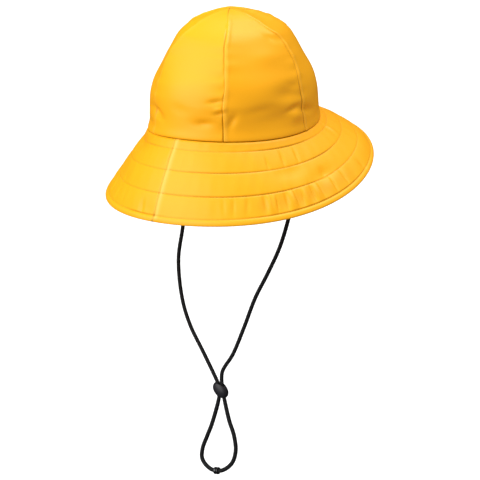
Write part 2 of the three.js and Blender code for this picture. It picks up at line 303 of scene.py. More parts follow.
def add_math(tree, operation, *numbers):
    """The result of an operation on two or three numbers."""
    working = add_node(tree, "Math")
    working.operation = operation
    fill(working, dict(enumerate(numbers)))
    return working.outputs["Value"]


def add_wave(tree, direction, values):
    """Bands of a wave texture in a direction."""
    wave = add_node(tree, "TexWave", values)
    wave.bands_direction = direction
    return wave.outputs["Fac"]


def cord_finish():
    """Black braided yarn: two sets of slanting ribs in bump, with painted shade in the hollows between them
    and a painted highlight where they cross.
    """
    material, tree, shader = new_material("black_braid")
    place = add_node(tree, "UVMap").outputs["UV"]
    ribs = []
    for slant in (1, -1):
        scale = (2 * braid_strands * slant, 2 / braid_pitch, 1)
        spread = add_node(tree, "Mapping", {"Vector": place, "Scale": scale}).outputs["Vector"]
        ribs.append(add_wave(tree, "DIAGONAL", {"Vector": spread, "Scale": 0.5, "Distortion": 0.3}))
    crossing = add_math(tree, "MAXIMUM", *ribs)
    bump = add_node(tree, "Bump", {"Strength": 0.6, "Distance": 0.0001, "Height": crossing})
    fill(shader, {
        "Base Color": add_mix(tree, crossing, braid_hollow_shade, braid_crossing_highlight),
        "Roughness": 0.75,
        "Specular IOR Level": 0.3,
        "Normal": bump.outputs["Normal"],
    })
    return material


chin_cord = new_piece("elastic_chin_cord", cord_finish(), *cord_tube())
chin_cord.data.set_sharp_from_angle(angle=math.radians(60))
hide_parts("chin_cord")
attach(chin_cord, "root")


# The toggle: an oval bead of black plastic, thicker in the middle, that slides along both strands. Its
# long slot opens wider at the top and the foot, and it grips the strands by its tilt.
toggle_middle = np.array([0.01725, 0.0046, -0.319])
toggle_half_size = np.array([0.0112, 0.006, 0.0083])
toggle_tilt = math.radians(41)
toggle_slot_lean = math.tan(math.radians(9))
toggle_slot_half_spacing = 0.0034
toggle_slot_radius = 0.00255
toggle_mouth_flare = 0.0011
toggle_mouth_depth = 0.0014
toggle_mouth_fall = 1.3
toggle_roundness = 2.15
toggle_light = (0.016, 0.015, 0.021)
toggle_deep = (0.011, 0.0105, 0.015)


def toggle_radius(direction):
    """Distance from the oval bead's middle to its skin along directions that are counted from the
    leaning slot, with its faces pressed a little flatter than an ellipsoid's."""
    c, s = math.cos(toggle_tilt), math.sin(toggle_tilt)
    leaning = direction[..., 0] + toggle_slot_lean * direction[..., 2]
    x = c * leaning + s * direction[..., 2]
    z = -s * leaning + c * direction[..., 2]
    y = direction[..., 1]
    a, b, d = toggle_half_size
    total = sum(np.abs(part) ** toggle_roundness for part in (x / a, y / b, z / d))
    return total ** (-1 / toggle_roundness)


def slot_reach(turn):
    """Distance from the slot's middle to its wall: a long hole with round ends along X."""
    x, y = np.abs(np.cos(turn)), np.abs(np.sin(turn))
    flat = toggle_slot_radius / np.maximum(y, 1e-9)
    m = toggle_slot_half_spacing * x
    round_end = m + np.sqrt(np.maximum(m**2 + toggle_slot_radius**2 - toggle_slot_half_spacing**2, 0))
    return np.where(flat * x < toggle_slot_half_spacing, flat, round_end)


def toggle_surface(sides=96, outer_rows=56, inner_rows=24, crowding=0.12, halvings=40):
    """A closed ring surface: out of the slot's upper mouth, over the oval skin, into the lower mouth and
    back up the slot's wall, which flares towards each mouth as a fading exponential. The skin meets the
    mouth where its distance from the slot's middle is the flared rim's, found by halving."""
    turn = full_turn(sides)
    rim = slot_reach(turn) + toggle_mouth_flare

    def skin(lean):
        direction = np.stack([np.sin(lean) * np.cos(turn), np.sin(lean) * np.sin(turn), np.cos(lean)], -1)
        return direction * toggle_radius(direction)[..., None]

    def mouth_lean(low, high):
        low, high = np.full(sides, low), np.full(sides, high)
        for _ in range(halvings):
            middle = (low + high) / 2
            inside = np.hypot(*np.moveaxis(skin(middle), -1, 0)[:2]) < rim
            low, high = np.where(inside, middle, low), np.where(inside, high, middle)
        return low

    top = mouth_lean(1e-3, np.pi / 2)
    foot = mouth_lean(np.pi - 1e-3, np.pi / 2)
    share = np.linspace(0, 1, outer_rows)[:, None]
    outer = skin(top + (foot - top) * (share - crowding * np.sin(4 * np.pi * share) / np.pi))
    level = np.linspace(0, 1, inner_rows + 2)[1:-1, None]
    height = outer[-1, :, 2] + (outer[0, :, 2] - outer[-1, :, 2]) * level
    near = np.minimum(height - outer[-1, :, 2], outer[0, :, 2] - height)
    faded = np.exp(-((near / toggle_mouth_depth) ** toggle_mouth_fall) * 2)
    reach = slot_reach(turn) + toggle_mouth_flare * faded
    wall = np.stack([reach * np.cos(turn), reach * np.sin(turn), height], -1)
    rows = np.concatenate([outer, wall])
    rows[..., 0] += toggle_slot_lean * rows[..., 2]
    number = grid_numbers(rows)
    faces = strip_faces(np.roll(number, -1, 0), number, True)
    return rows.reshape(-1, 3) + toggle_middle, faces


def grain_group():
    """Fine grain that plastics and coated cloth share: a small and a large noise, put out as a mix of two
    colours, a roughness between two values and a height."""
    group = bpy.data.node_groups.new("fine_grain", "ShaderNodeTree")
    for name, kind in (
        ("Vector", "Vector"),
        ("Grain Scale", "Float"),
        ("Cloud Scale", "Float"),
        ("Light Colour", "Color"),
        ("Deep Colour", "Color"),
        ("Low Roughness", "Float"),
        ("High Roughness", "Float"),
    ):
        group.interface.new_socket(name=name, in_out="INPUT", socket_type="NodeSocket" + kind)
    for name, kind in (("Colour", "Color"), ("Roughness", "Float"), ("Height", "Float")):
        group.interface.new_socket(name=name, in_out="OUTPUT", socket_type="NodeSocket" + kind)
    given = group.nodes.new("NodeGroupInput").outputs
    where, grain_scale = given["Vector"], given["Grain Scale"]
    grain = add_node(group, "TexNoise", {"Vector": where, "Scale": grain_scale, "Detail": 3}).outputs["Fac"]
    pebble = add_node(group, "TexVoronoi", {"Vector": where, "Scale": grain_scale})
    pebble.feature = "SMOOTH_F1"
    cloud = add_node(group, "TexNoise", {"Vector": where, "Scale": given["Cloud Scale"], "Detail": 4})
    rough = {"Value": grain, "To Min": given["Low Roughness"], "To Max": given["High Roughness"]}
    fill(group.nodes.new("NodeGroupOutput"), {
        "Colour": add_mix(group, cloud.outputs["Fac"], given["Deep Colour"], given["Light Colour"]),
        "Roughness": add_node(group, "MapRange", rough).outputs["Result"],
        "Height": add_math(group, "MULTIPLY_ADD", pebble.outputs["Distance"], 0.6, grain),
    })
    return group


fine_grain = grain_group()


def grained_finish(name, light, deep, rough, grain, cloud, depth):
    """A material whose colour, roughness and bump come from the fine grain group, and its shader."""
    material, tree, shader = new_material(name)
    surface = add_node(tree, "Group")
    surface.node_tree = fine_grain
    fill(surface, {
        "Vector": add_node(tree, "TexCoord").outputs["Object"],
        "Grain Scale": grain,
        "Cloud Scale": cloud,
        "Light Colour": (*light, 1),
        "Deep Colour": (*deep, 1),
        "Low Roughness": rough[0],
        "High Roughness": rough[1],
    })
    bump = add_node(tree, "Bump", {"Strength": 0.5, "Distance": depth, "Height": surface.outputs["Height"]})
    fill(shader, {
        "Base Color": surface.outputs["Colour"],
        "Roughness": surface.outputs["Roughness"],
        "Normal": bump.outputs["Normal"],
    })
    return material, shader


toggle_finish, _ = grained_finish(
    "toggle_plastic", toggle_light, toggle_deep, (0.42, 0.55), grain=2600, cloud=120, depth=0.00004)
toggle = new_piece("oval_toggle", toggle_finish, *toggle_surface())
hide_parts("cord_toggle")
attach(toggle, "root")


# The crimp bead: a small glossy black ring pressed onto the lowest run of the loop, which keeps the
# toggle from sliding off. Its middle is pinched in by the crimping tool.
bead_half_length = 0.0029
bead_radius = 0.0044
bead_bore = cord_diameter / 2 * (1 + slack_swell) + braid_relief
bead_pinch = 0.0005
bead_pinch_span = 0.0011
bead_squareness = 0.55
bead_light = (0.008, 0.008, 0.009)
bead_deep = (0.005, 0.005, 0.006)
bead_run = np.array([cord_route[19], cord_route[20]])


def square_off(wave, power):
    """A sine or cosine made squarer by a power below one, which rounds an oblong instead of a circle."""
    return np.sign(wave) * np.abs(wave) ** power


def bead_surface(sides=64, rows=64):
    """A rounded ring turned about the cord: its section is a rounded oblong, r out from the bore and x
    along the cord, with the outer face pinched in as a bell curve."""
    turn = full_turn(sides)
    around = full_turn(rows)[:, None]
    x = bead_half_length * square_off(np.sin(around), bead_squareness)
    half_wall = (bead_radius - bead_bore) / 2
    radius = bead_bore + half_wall + half_wall * square_off(np.cos(around), bead_squareness)
    pinched = bead_pinch * np.exp(-((x / bead_pinch_span) ** 2))
    radius = radius - np.where(np.cos(around) > 0, pinched, 0)
    axis = unit(bead_run[1] - bead_run[0])
    side = unit(np.cross(cord_plane_normal, axis))
    front = np.cross(axis, side)
    out = np.cos(turn)[None, :, None] * side + np.sin(turn)[None, :, None] * front
    rings = bead_run.mean(0) + x[..., None] * axis + radius[..., None] * out
    number = grid_numbers(rings)
    return rings.reshape(-1, 3), strip_faces(np.roll(number, -1, 0), number, True)


bead_finish, shader = grained_finish(
    "bead_gloss", bead_light, bead_deep, (0.16, 0.26), grain=1800, cloud=150, depth=0.00002)
fill(shader, {"Coat Weight": 0.4, "Coat Roughness": 0.1})
bead = new_piece("crimp_ring_bead", bead_finish, *bead_surface())
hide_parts("crimp_bead")
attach(bead, "root")


# The crown: six panels of coated cloth sewn edge to edge. The seam allowance is pressed under one side
# of each seam, which raises a soft roll beside the groove, and the seams draw small puckers.
head_half_width = 0.088
head_half_length = 0.1058
seam_level = (-0.003, -0.0034, 0.0099)
crown_height = 0.1262
crown_wall = 0.0012
crown_turn = math.radians(3.5)
crown_lean = (0.003, 0.0035)
crown_dent_depth = 0.003
panel_turn = math.radians(60)
corner_turn = math.radians(2.8)
corner_round = math.radians(1.6)
crown_rise = np.array([0, 0.141, 0.281, 0.419, 0.551, 0.675, 0.788, 0.868, 0.935, 0.977, 1])
crown_reach = np.array([1, 0.99, 0.983, 0.947, 0.879, 0.791, 0.68, 0.53, 0.363, 0.188, 0.003])
crown_flat = np.array([0, 0.01, 0.03, 0.13, 0.38, 0.54, 0.6, 0.59, 0.56, 0.52, 0.5])
# azimuth, rise, span around and span up, depth as a share of a full dent
crown_dents = [
    (170, 0.345, 11, 0.065, 0.9),
    (158, 0.165, 19, 0.095, 0.8),
    (176, 0.150, 5, 0.045, -0.6),
    (110, 0.135, 8, 0.040, 0.5),
    (60, 0.200, 16, 0.085, 0.7),
    (56, 0.440, 14, 0.130, 0.7),
    (40, 0.640, 14, 0.120, 0.4),
    (52, 0.860, 14, 0.070, -0.4),
    (45, 0.950, 20, 0.050, 0.6),
    (53, 0.070, 12, 0.050, 0.8),
    (200, 0.940, 24, 0.060, 0.6),
    (228, 0.780, 17, 0.150, -0.75),
    (235, 0.300, 15, 0.090, 0.5),
    (310, 0.200, 14, 0.070, 0.6),
]
# small folds: azimuth, rise, half length, half width, slant in degrees, depth
crown_folds = [
    (129, 0.165, 0.007, 0.0040, 55, 0.0023),
    (118, 0.318, 0.008, 0.0020, 8, 0.0017),
    (121, 0.226, 0.006, 0.0018, 10, 0.0015),
    (121, 0.258, 0.006, 0.0025, 5, -0.0011),
    (110, 0.140, 0.009, 0.0030, 5, 0.0013),
    (68, 0.180, 0.014, 0.0040, -17, 0.0034),
    (170, 0.785, 0.005, 0.0030, -40, 0.0010),
    (162, 0.640, 0.018, 0.0085, 0, -0.0013),
    (176, 0.400, 0.008, 0.0035, -20, 0.0006),
    (174, 0.215, 0.009, 0.0030, 12, 0.0019),
    (148, 0.240, 0.016, 0.0050, 6, 0.0011),
    (92, 0.240, 0.015, 0.0060, -6, 0.0009),
]
fold_repeats = [(0, 1), (118, 0.55), (241, 0.5)]
# two kinds of seam, from the foot to the top: how many degrees it strays, and how deeply it creases,
# which sets both how deep its groove is and how much painted shade lies in it
seam_stray = np.array([
    [0, -0.3, -0.5, 0.9, 0.5, 0.1, 0, 1.3, 1.5, 0.8, 0],
    [0, -0.7, -1.3, -1.6, 0.2, 0.3, 2.0, 0.6, 0, 0, 0],
])
seam_crease = np.array([
    [1, 0.9, 0.4, 0.3, 0.3, 0.6, 0.6, 0.1, 0.2, 0.9, 1],
    [0.3, 0.9, 0.9, 0.5, 0.35, 0.35, 0.3, 0.3, 0.2, 0.3, 0.5],
])
# the point where the seams meet lies nearer the back right than the crown's own middle
meeting_shift = 0.105
meeting_turn = math.radians(123.5)
meeting_reach = (0.47, 0.86)
# the seam at the back left lies flatter; the others stand up in a full roll
seam_roll = (1, 0.3, 1, 1, 1, 1)
# at each seam: the groove and the painted shade in it, the roll over the allowance and the painted highlight
# on it, and the puckers that the thread draws. A groove, a painted highlight or a swell is stated as its
# depth, strength or height, its width, and how far off it lies
seam_groove = (0.0010, 0.0006)
seam_painted_shade_width = 0.0005
roll_height = 0.0006
roll_unevenness = 0.0002
roll_width = 0.0050
roll_wander = 0.0006
roll_start = 0.0009
roll_end = 0.0006
roll_painted_highlight = (0.10, 0.0018, 0.0028)
pucker_height = 0.0004
pucker_reach = 0.010
pucker_start = 0.001
# where panels get narrower than this towards the meeting point, seams and folds fade
full_relief_girth = 0.045
# the seam round the foot is drawn in most at the back and on the right of it
foot_middle = 131
foot_span = 60
foot_least = 0.35
foot_groove = (0.0009, 0.0006)
# the painted shade in the crease of the foot's seam is this wide
foot_painted_shade_width = 0.0004
foot_swell = (0.0012, 0.006, 0.0015)


def around_head(angle, back, side, front):
    """A value stated at the back, the sides and the front, joined by a sine and a double cosine."""
    ends = (back + front) / 2
    tilt = (back - front) / 2
    return (ends + side) / 2 + tilt * np.sin(angle) + (side - ends) / 2 * np.cos(2 * angle)


def table_curve(values, along):
    """A smooth curve through a column of values, at shares from its first to its last row."""
    last = len(values) - 1
    place = np.clip(along, 0, 1) * last
    row = np.minimum(place.astype(int), last - 1)
    t = place - row
    p0, p1 = values[np.maximum(row - 1, 0)], values[row]
    p2, p3 = values[row + 1], values[np.minimum(row + 2, last)]
    leave, arrive = (p2 - p0) / 2, (p3 - p1) / 2
    cubic = 2 * p1 - 2 * p2 + leave + arrive
    square = -3 * p1 + 3 * p2 - 2 * leave - arrive
    return ((cubic * t + square) * t + leave) * t + p1


def turn_past(azimuth, middle):
    """Degrees past a middle, from half a turn before it to half a turn after it."""
    return (azimuth - middle + 180) % 360 - 180


def half_turn(angle):
    """The same angle between minus and plus half a turn."""
    return (angle + np.pi) % (2 * np.pi) - np.pi


def dents_at(dents, angle, place):
    """The sum of bell-shaped hollows, each fading over its span round the head and across."""
    azimuth = np.degrees(angle)
    total = np.zeros(np.broadcast(azimuth, place).shape)
    for middle, height, span_around, span_across, depth in dents:
        around = turn_past(azimuth, middle) / span_around
        total = total + depth * np.exp(-(around**2) - ((place - height) / span_across) ** 2)
    return total


def ripple(place, low, high, seed, usual_peak=1.6):
    """An uneven wave about as high as one: a sum of sines of whole frequencies, with seeded phases."""
    maker = np.random.default_rng(seed)
    count = np.arange(low, high + 1)
    phase = maker.uniform(0, 2 * np.pi, len(count))
    weight = maker.uniform(0.4, 1, len(count))
    waves = weight * np.sin(np.asarray(place)[..., None] * count + phase)
    return waves.sum(-1) / np.sqrt((weight**2).sum() / 2) / usual_peak


def bell(distance, span):
    """A bell curve, one at no distance."""
    return np.exp(-((distance / span) ** 2))


def ridge(distance, height, width, place=0):
    """A ridge of a height, with a bell-shaped section of a width, at a place."""
    return height * bell(distance - place, width)


def seam_point(angle):
    """The oval seam between crown and brim."""
    level = around_head(angle, *seam_level)
    return np.stack([head_half_width * np.cos(angle), head_half_length * np.sin(angle), level], -1)


def crown_share(off_middle, along):
    """How far out the crown reaches, as a share of the seam's oval: the table's reach, flattened as a
    polygon's side is. The rounded corner stands beside the seam, over the edge of its allowance."""
    past_corner = (off_middle - corner_turn + panel_turn / 2) % panel_turn - panel_turn / 2
    to_corner = np.hypot(panel_turn / 2 - np.abs(past_corner), corner_round)
    flattened = 1 - math.cos(panel_turn / 2) / np.cos(panel_turn / 2 - to_corner)
    drawn_in = table_curve(crown_flat, along) * flattened
    return table_curve(crown_reach, along) * (1 - drawn_in)


def crown_outline(angle, off_middle, along):
    """Distance from the middle and height, in the upright plane at an angle."""
    seam = seam_point(angle)
    distance = np.hypot(seam[..., 0], seam[..., 1]) * crown_share(off_middle, along)
    height = seam[..., 2] + (crown_height - seam[..., 2]) * table_curve(crown_rise, along)
    return distance, height


def crown_point(angle, off_middle, along, inset):
    """A point of the crown, moved inwards at right angles to its outline by an inset."""
    step = 0.01
    low_distance, low_height = crown_outline(angle, off_middle, np.maximum(along - step, 0))
    high_distance, high_height = crown_outline(angle, off_middle, np.minimum(along + step, 1))
    run = np.hypot(high_distance - low_distance, high_height - low_height)
    distance, height = crown_outline(angle, off_middle, along)
    distance = distance + inset * (low_height - high_height) / run
    height = height + inset * (high_distance - low_distance) / run
    seam = seam_point(angle)
    share = distance / np.hypot(seam[..., 0], seam[..., 1])
    lean = table_curve(crown_rise, along) ** 2
    x = seam[..., 0] * share + crown_lean[0] * lean
    y = seam[..., 1] * share + crown_lean[1] * lean
    return np.stack([x, y, height], -1)


def towards_meeting(angle, off_middle, along, halvings=26):
    """The place on the crown that a place on an even panel moves to, so that the seams meet off the
    crown's middle: a shift in plan that fades outwards, then the row there found by halving."""
    share = crown_share(off_middle, along)
    near, far = meeting_reach
    t = np.clip((far - share) / (far - near), 0, 1)
    shift = meeting_shift * t * t * (3 - 2 * t)
    x = share * np.cos(angle) + shift * math.cos(meeting_turn)
    y = share * np.sin(angle) + shift * math.sin(meeting_turn)
    turned = half_turn(np.arctan2(y, x) - angle)
    low, high = 0 * share, 0 * share + 1
    for _ in range(halvings):
        middle = (low + high) / 2
        outside = crown_share(off_middle, middle) > np.hypot(x, y)
        low, high = np.where(outside, middle, low), np.where(outside, high, middle)
    return angle + turned, np.where(shift > 0, low, along)


def wall_faces(columns, rows):
    """Quads of a closed wall: an outer grid, an inner grid and the four edges between them."""
    outer = np.arange(columns * rows).reshape(columns, rows)
    inner = outer + columns * rows
    rim = np.concatenate([outer[:, 0], outer[-1, 1:], outer[-2::-1, -1], outer[0, -2:0:-1]])
    inner_rim = rim + columns * rows
    return np.concatenate([
        strip_faces(outer[1:], outer[:-1], False)[:, ::-1],
        strip_faces(inner[1:], inner[:-1], False),
        strip_faces(rim, inner_rim, True)[:, ::-1],
    ])


def folds_at(folds, azimuth, place, metres_per_turn, metres_per_place):
    """The sum of small folds, each a long bell-shaped hollow turned by its slant. The same few folds come
    again, fainter, on the other sides of the head."""
    total = np.zeros(azimuth.shape)
    for middle, height, half_length, half_width, slant, depth in folds:
        lean = math.radians(slant)
        for shift, strength in fold_repeats:
            around = np.radians(turn_past(azimuth - middle, shift)) * metres_per_turn
            up = (place - height) * metres_per_place
            along = around * math.cos(lean) + up * math.sin(lean)
            across = up * math.cos(lean) - around * math.sin(lean)
            total = total + strength * depth * bell(along, half_length) * bell(across, half_width)
    return total


def sewn_roll(off_seam, height, width):
    """The soft ridge over a pressed seam allowance: it starts at the stitching, is level across, and
    falls off again at its width."""
    return height * (1 - bell(off_seam, roll_start)) / (1 + np.exp((off_seam - width) / roll_end))


def foot_depth(angle):
    """How deeply the seam between crown and brim draws the cloth in: a bell with a flat top, fully at
    the back and on the right of it, least towards the front."""
    turn = turn_past(np.degrees(angle), foot_middle)
    return foot_least + (1 - foot_least) * np.exp(-((turn / foot_span) ** 6))


def crown_relief(panel, angle, off_first, off_last, along, height, fade):
    """Height of the outer face above the plain panel: a groove of uneven depth at both seams, the roll
    over the pressed allowance beside the first seam, puckers that die away from both, and the foot."""
    upright = 2 * np.pi * along
    uneven = ripple(upright, low=3, high=10, seed=220 + panel)
    wander = ripple(upright, low=2, high=8, seed=240 + panel)
    full_height = seam_roll[panel] * (roll_height + roll_unevenness * uneven)
    roll = sewn_roll(off_first, full_height, roll_width + roll_wander * wander)
    groove, puckers = 0, 0
    for end, off_seam in enumerate((off_first, off_last)):
        depth = table_curve(seam_crease[(panel + end) % 2], along)
        groove = groove - depth * ridge(off_seam, *seam_groove)
        pucker = ripple(upright, low=5, high=15, seed=10 * panel + end) * np.exp(-off_seam / pucker_reach)
        puckers = puckers + pucker * (1 - bell(off_seam, pucker_start))
    foot = ridge(height, *foot_swell) - foot_depth(angle) * ridge(height, *foot_groove)
    return (groove + roll + pucker_height * puckers) * fade + foot


def crown_painted_shade(panel, angle, off_first, off_last, along, height):
    """How much painted shade a point gets in a sewn crease, from 0 to 1. The seams close and open along
    their run.
    """
    painted_shade = foot_depth(angle) * bell(height, foot_painted_shade_width)
    for end, off_seam in enumerate((off_first, off_last)):
        depth = table_curve(seam_crease[(panel + end) % 2], along)
        painted_shade = painted_shade + depth * bell(off_seam, seam_painted_shade_width)
    return np.clip(painted_shade, 0, 1)


def panel_columns(between=46, stretch=1.1):
    """Shares across a panel, whose girth is about the head's half width with a stretch: close together
    beside both seams, even between them."""
    beside = np.array([0, 0.3, 0.6, 0.9, 1.3, 1.8, 2.4, 3.1, 3.9, 4.7, 5.4, 6.2, 7.2, 8.4, 10]) / 1000
    beside = beside / (head_half_width * stretch)
    even = np.linspace(beside[-1], 1 - beside[-1], between)[1:-1]
    return np.concatenate([beside, even, 1 - beside[::-1]])


def crown_panel(index, rows=130, crowding=1.25):
    """One panel as a wall between two grids. Its rows crowd towards the foot, where the cloth turns most
    sharply."""
    share = panel_columns()[:, None]
    along = (np.linspace(0, 1, rows) ** crowding)[None, :]
    stray = (1 - share) * table_curve(seam_stray[index % 2], along)
    stray = stray + share * table_curve(seam_stray[(index + 1) % 2], along)
    off_middle = (share - 0.5) * panel_turn
    angle = crown_turn + (index + share) * panel_turn + np.radians(stray)
    angle, along = towards_meeting(angle, off_middle, along)
    plain = crown_point(angle, off_middle, along, 0)
    off_first = np.cumsum(np.linalg.norm(np.diff(plain, axis=0, prepend=plain[:1]), axis=-1), axis=0)
    off_last = off_first[-1] - off_first
    fade = np.clip(off_first[-1] / full_relief_girth, 0, 1) ** 2
    rise = table_curve(crown_rise, along)
    above_foot = plain[..., 2] - seam_point(angle)[..., 2]
    metres_per_turn = np.hypot(plain[..., 0], plain[..., 1])
    relief = crown_relief(index, angle, off_first, off_last, along, above_foot, fade)
    dent = crown_dent_depth * dents_at(crown_dents, angle, rise)
    dent = dent + folds_at(crown_folds, np.degrees(angle), rise, metres_per_turn, crown_height) * fade
    outer = crown_point(angle, off_middle, along, dent - relief)
    inner = crown_point(angle, off_middle, along, dent + crown_wall)
    # painted shade in the sewn creases, and a painted highlight on the roll beside the seam
    painted_shade = crown_painted_shade(index, angle, off_first, off_last, along, above_foot)
    painted_highlight = ridge(off_first, *roll_painted_highlight) * fade
    uv = np.stack([angle * head_half_width, plain[..., 2]], -1).reshape(-1, 2)
    points = np.concatenate([outer.reshape(-1, 3), inner.reshape(-1, 3)])
    blank = 0 * painted_shade
    masks = {
        "painted_shade": np.stack([painted_shade, blank]),
        "painted_highlight": np.stack([painted_highlight, blank]),
        "inside": np.stack([blank, blank + 1]),
    }
    return points, wall_faces(*rise.shape), np.concatenate([uv, uv]), masks


coated_yellow = (0.97, 0.424, 0.001)
coated_deep = (0.95, 0.406, 0.0006)
coated_shine = (0.40, 0.50)
coated_specular = 0.32
# painted shade, mixed into the cloth's colour in creases and other shaded places
painted_shade_colour = (0.30, 0.155, 0.006, 1)
# painted highlight on the seam rolls, the join's raised band and the top of the turned edge
painted_highlight_colour = (0.98, 0.62, 0.14, 1)
woven_colour = (0.86, 0.46, 0.05, 1)
woven_roughness = 0.85
weave_scale = 260


def coated_finish(name):
    """Waterproof yellow cloth: the fine grain of its coating, with painted shade in the sewn creases, a
    painted highlight on ridges, and a dull woven back where the inside mask is one."""
    material, shader = grained_finish(
        name, coated_yellow, coated_deep, coated_shine, grain=1700, cloud=18, depth=0.00003)
    tree = material.node_tree
    colour = shader.inputs["Base Color"].links[0].from_socket
    rough = shader.inputs["Roughness"].links[0].from_socket
    bump = shader.inputs["Normal"].links[0].from_node
    grain = bump.inputs["Height"].links[0].from_socket
    masks = []
    for mask in ("painted_shade", "painted_highlight", "inside"):
        reader = add_node(tree, "Attribute")
        reader.attribute_name = mask
        masks.append(reader.outputs["Fac"])
    inside = masks[2]
    place = add_node(tree, "UVMap").outputs["UV"]
    threads = {"Vector": place, "Scale": weave_scale, "Distortion": 0.6}
    weave = add_math(tree, "MULTIPLY", *(add_wave(tree, direction, threads) for direction in ("X", "Y")))
    for mask, tint in zip(masks, (painted_shade_colour, painted_highlight_colour, woven_colour)):
        colour = add_mix(tree, mask, colour, tint)
    dull = add_node(tree, "Mix", {"Factor": inside, "A": rough, "B": woven_roughness})
    relief = add_node(tree, "Mix", {"Factor": inside, "A": grain, "B": weave})
    fill(bump, {"Height": relief.outputs["Result"]})
    fill(shader, {
        "Base Color": colour,
        "Roughness": dull.outputs["Result"],
        "Specular IOR Level": coated_specular,
    })
    return material


crown_finish = coated_finish("coated_crown_cloth")
crown_names = ["back_left", "back", "back_right", "front_right", "front", "front_left"]
for index, place in enumerate(crown_names):
    panel = new_piece("crown_panel_" + place, crown_finish, *crown_panel(index))
    panel.data.set_sharp_from_angle(angle=math.radians(50))
    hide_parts("gore_" + place)
    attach(panel, "root")


# The brim: two layers of the same coated cloth, sewn through in rows that follow the edge and stiffen
# it. Its ends are joined at the centre back, and its edge is turned and stitched down.
brim_thickness = 0.0022
brim_width = (0.092, 0.0843, 0.0635)
brim_seam_slope = np.radians([57, 42.6, 11.4])
brim_edge_slope = np.radians([67.5, 49.1, 35.1])
brim_middle_radius = 0.12
brim_dent_depth = 0.0025
brim_dent_rise = 6
edge_swell = 0.0006
edge_swell_rise = 1.7
stitch_rows = (0.124, 0.382, 0.662, 0.923)
join_angle = math.pi / 2
brim_dents = [
    (158, 0.46, 9, 0.07, 0.4),
    (176, 0.62, 8, 0.08, 0.6),
    (86, 0.88, 5, 0.10, 0.5),
    (50, 0.13, 14, 0.12, 1.4),
    (48, 0.60, 12, 0.20, 0.6),
    (215, 0.75, 14, 0.20, -0.7),
    (282, 0.80, 20, 0.20, 0.8),
]
# where each row draws the cloth in most: middle in degrees, span and strength, alike on both sides
row_pulls = [
    [(161, 20, 0.9), (70, 8, 0.4)],
    [(126, 24, 0.7), (180, 15, 0.8)],
    [(138, 44, 0.8)],
    [(82, 9, 0.7), (166, 34, 0.9)],
]
# wrinkles: azimuth, share of the width, half length, half width, slant in degrees, depth
brim_folds = [
    (122.8, 0.77, 0.007, 0.0026, 84, 0.0007),
    (127.2, 0.78, 0.008, 0.0024, 92, 0.0008),
    (133.5, 0.77, 0.008, 0.0030, 97, 0.0011),
    (141.6, 0.78, 0.009, 0.0023, 88, 0.0014),
    (144.6, 0.75, 0.006, 0.0013, 82, 0.0010),
    (146.9, 0.80, 0.007, 0.0012, 95, 0.0010),
    (151.7, 0.78, 0.009, 0.0019, 91, 0.0014),
    (156.1, 0.76, 0.007, 0.0013, 85, 0.0010),
    (159.4, 0.80, 0.006, 0.0014, 96, 0.0012),
    (165.1, 0.78, 0.009, 0.0017, 90, 0.0014),
    (169.4, 0.77, 0.006, 0.0013, 84, 0.0010),
    (177.3, 0.79, 0.008, 0.0017, 94, 0.0012),
    (184.9, 0.78, 0.008, 0.0016, 90, 0.0010),
    (81.8, 0.86, 0.006, 0.0029, 80, 0.0016),
    (147.3, 0.30, 0.006, 0.0017, 86, 0.0008),
    (156.8, 0.27, 0.007, 0.0019, 92, 0.0010),
    (165.9, 0.27, 0.007, 0.0019, 96, 0.0010),
    (175.9, 0.60, 0.005, 0.0043, 60, 0.0012),
    (207.5, 0.21, 0.008, 0.0029, 88, -0.0010),
]
# between the rows the layers swell a little, and the outer ring is crumpled on the right
ring_swell = 0.0004
ring_swell_power = 0.8
ring_unevenness = 0.00014
crumple_height = 0.0007
crumple_middle = 161
crumple_span = 27
# a row's groove and the painted shade in it, as depth or strength and width, and the least share of them
row_groove = (0.0008, 0.0007)
row_painted_shade = (0.75, 0.0006)
row_least = 0.18
# the centre back join: a groove with painted shade in it, a raised band beside it with a painted highlight
# on it, a pinch where the outer row crosses it, with painted shade, and painted shade on the edge at the
# join
join_reach = 0.02
join_start = 0.03
join_band_height = 0.0019
join_band_start = 0.0024
join_band_fall = 0.006
join_groove = (0.0004, 0.0006)
join_painted_shade = (0.35, 0.0006)
join_painted_highlight = (0.5, 0.0032, 0.0034)
join_pinch = (0.0010, 0.003)
join_pinch_length = 0.002
pinch_painted_shade = (0.7, 0.0020)
pinch_painted_shade_length = 0.0016
join_notch_shade = (0.8, 0.0014)
# the brim's side of the seam with the crown
inner_groove = (0.0006, 0.0007)
inner_swell = (0.0004, 0.002, 0.003)
# the turned edge: a painted highlight on its upper side, painted shade where it turns under
edge_painted_highlight = (0.15, 0.0017)
edge_painted_highlight_place = 0.97
edge_painted_shade_strength = 0.5
edge_painted_shade_from = 1.7
# the under face takes this share of the painted shade that the upper face has
under_painted_shade_share = 0.7
# painted shade, a little darker on the right: the crown's shadow beside its foot, weaker all round, and
# shade in the crumpled outer ring
right_shade_middle = 165
right_shade_span = 33
right_shade_foot = (0.15, 0.009)
right_shade_foot_least = 0.2
right_shade_ring_place = 0.79
right_shade_ring_width = 0.0085
right_shade_ring_strength = 0.19
right_shade_ring_change = 0.06


def seam_outward(angle):
    """The level direction straight out of the seam's oval."""
    return unit(np.stack([head_half_length * np.cos(angle), head_half_width * np.sin(angle), 0 * angle], -1))


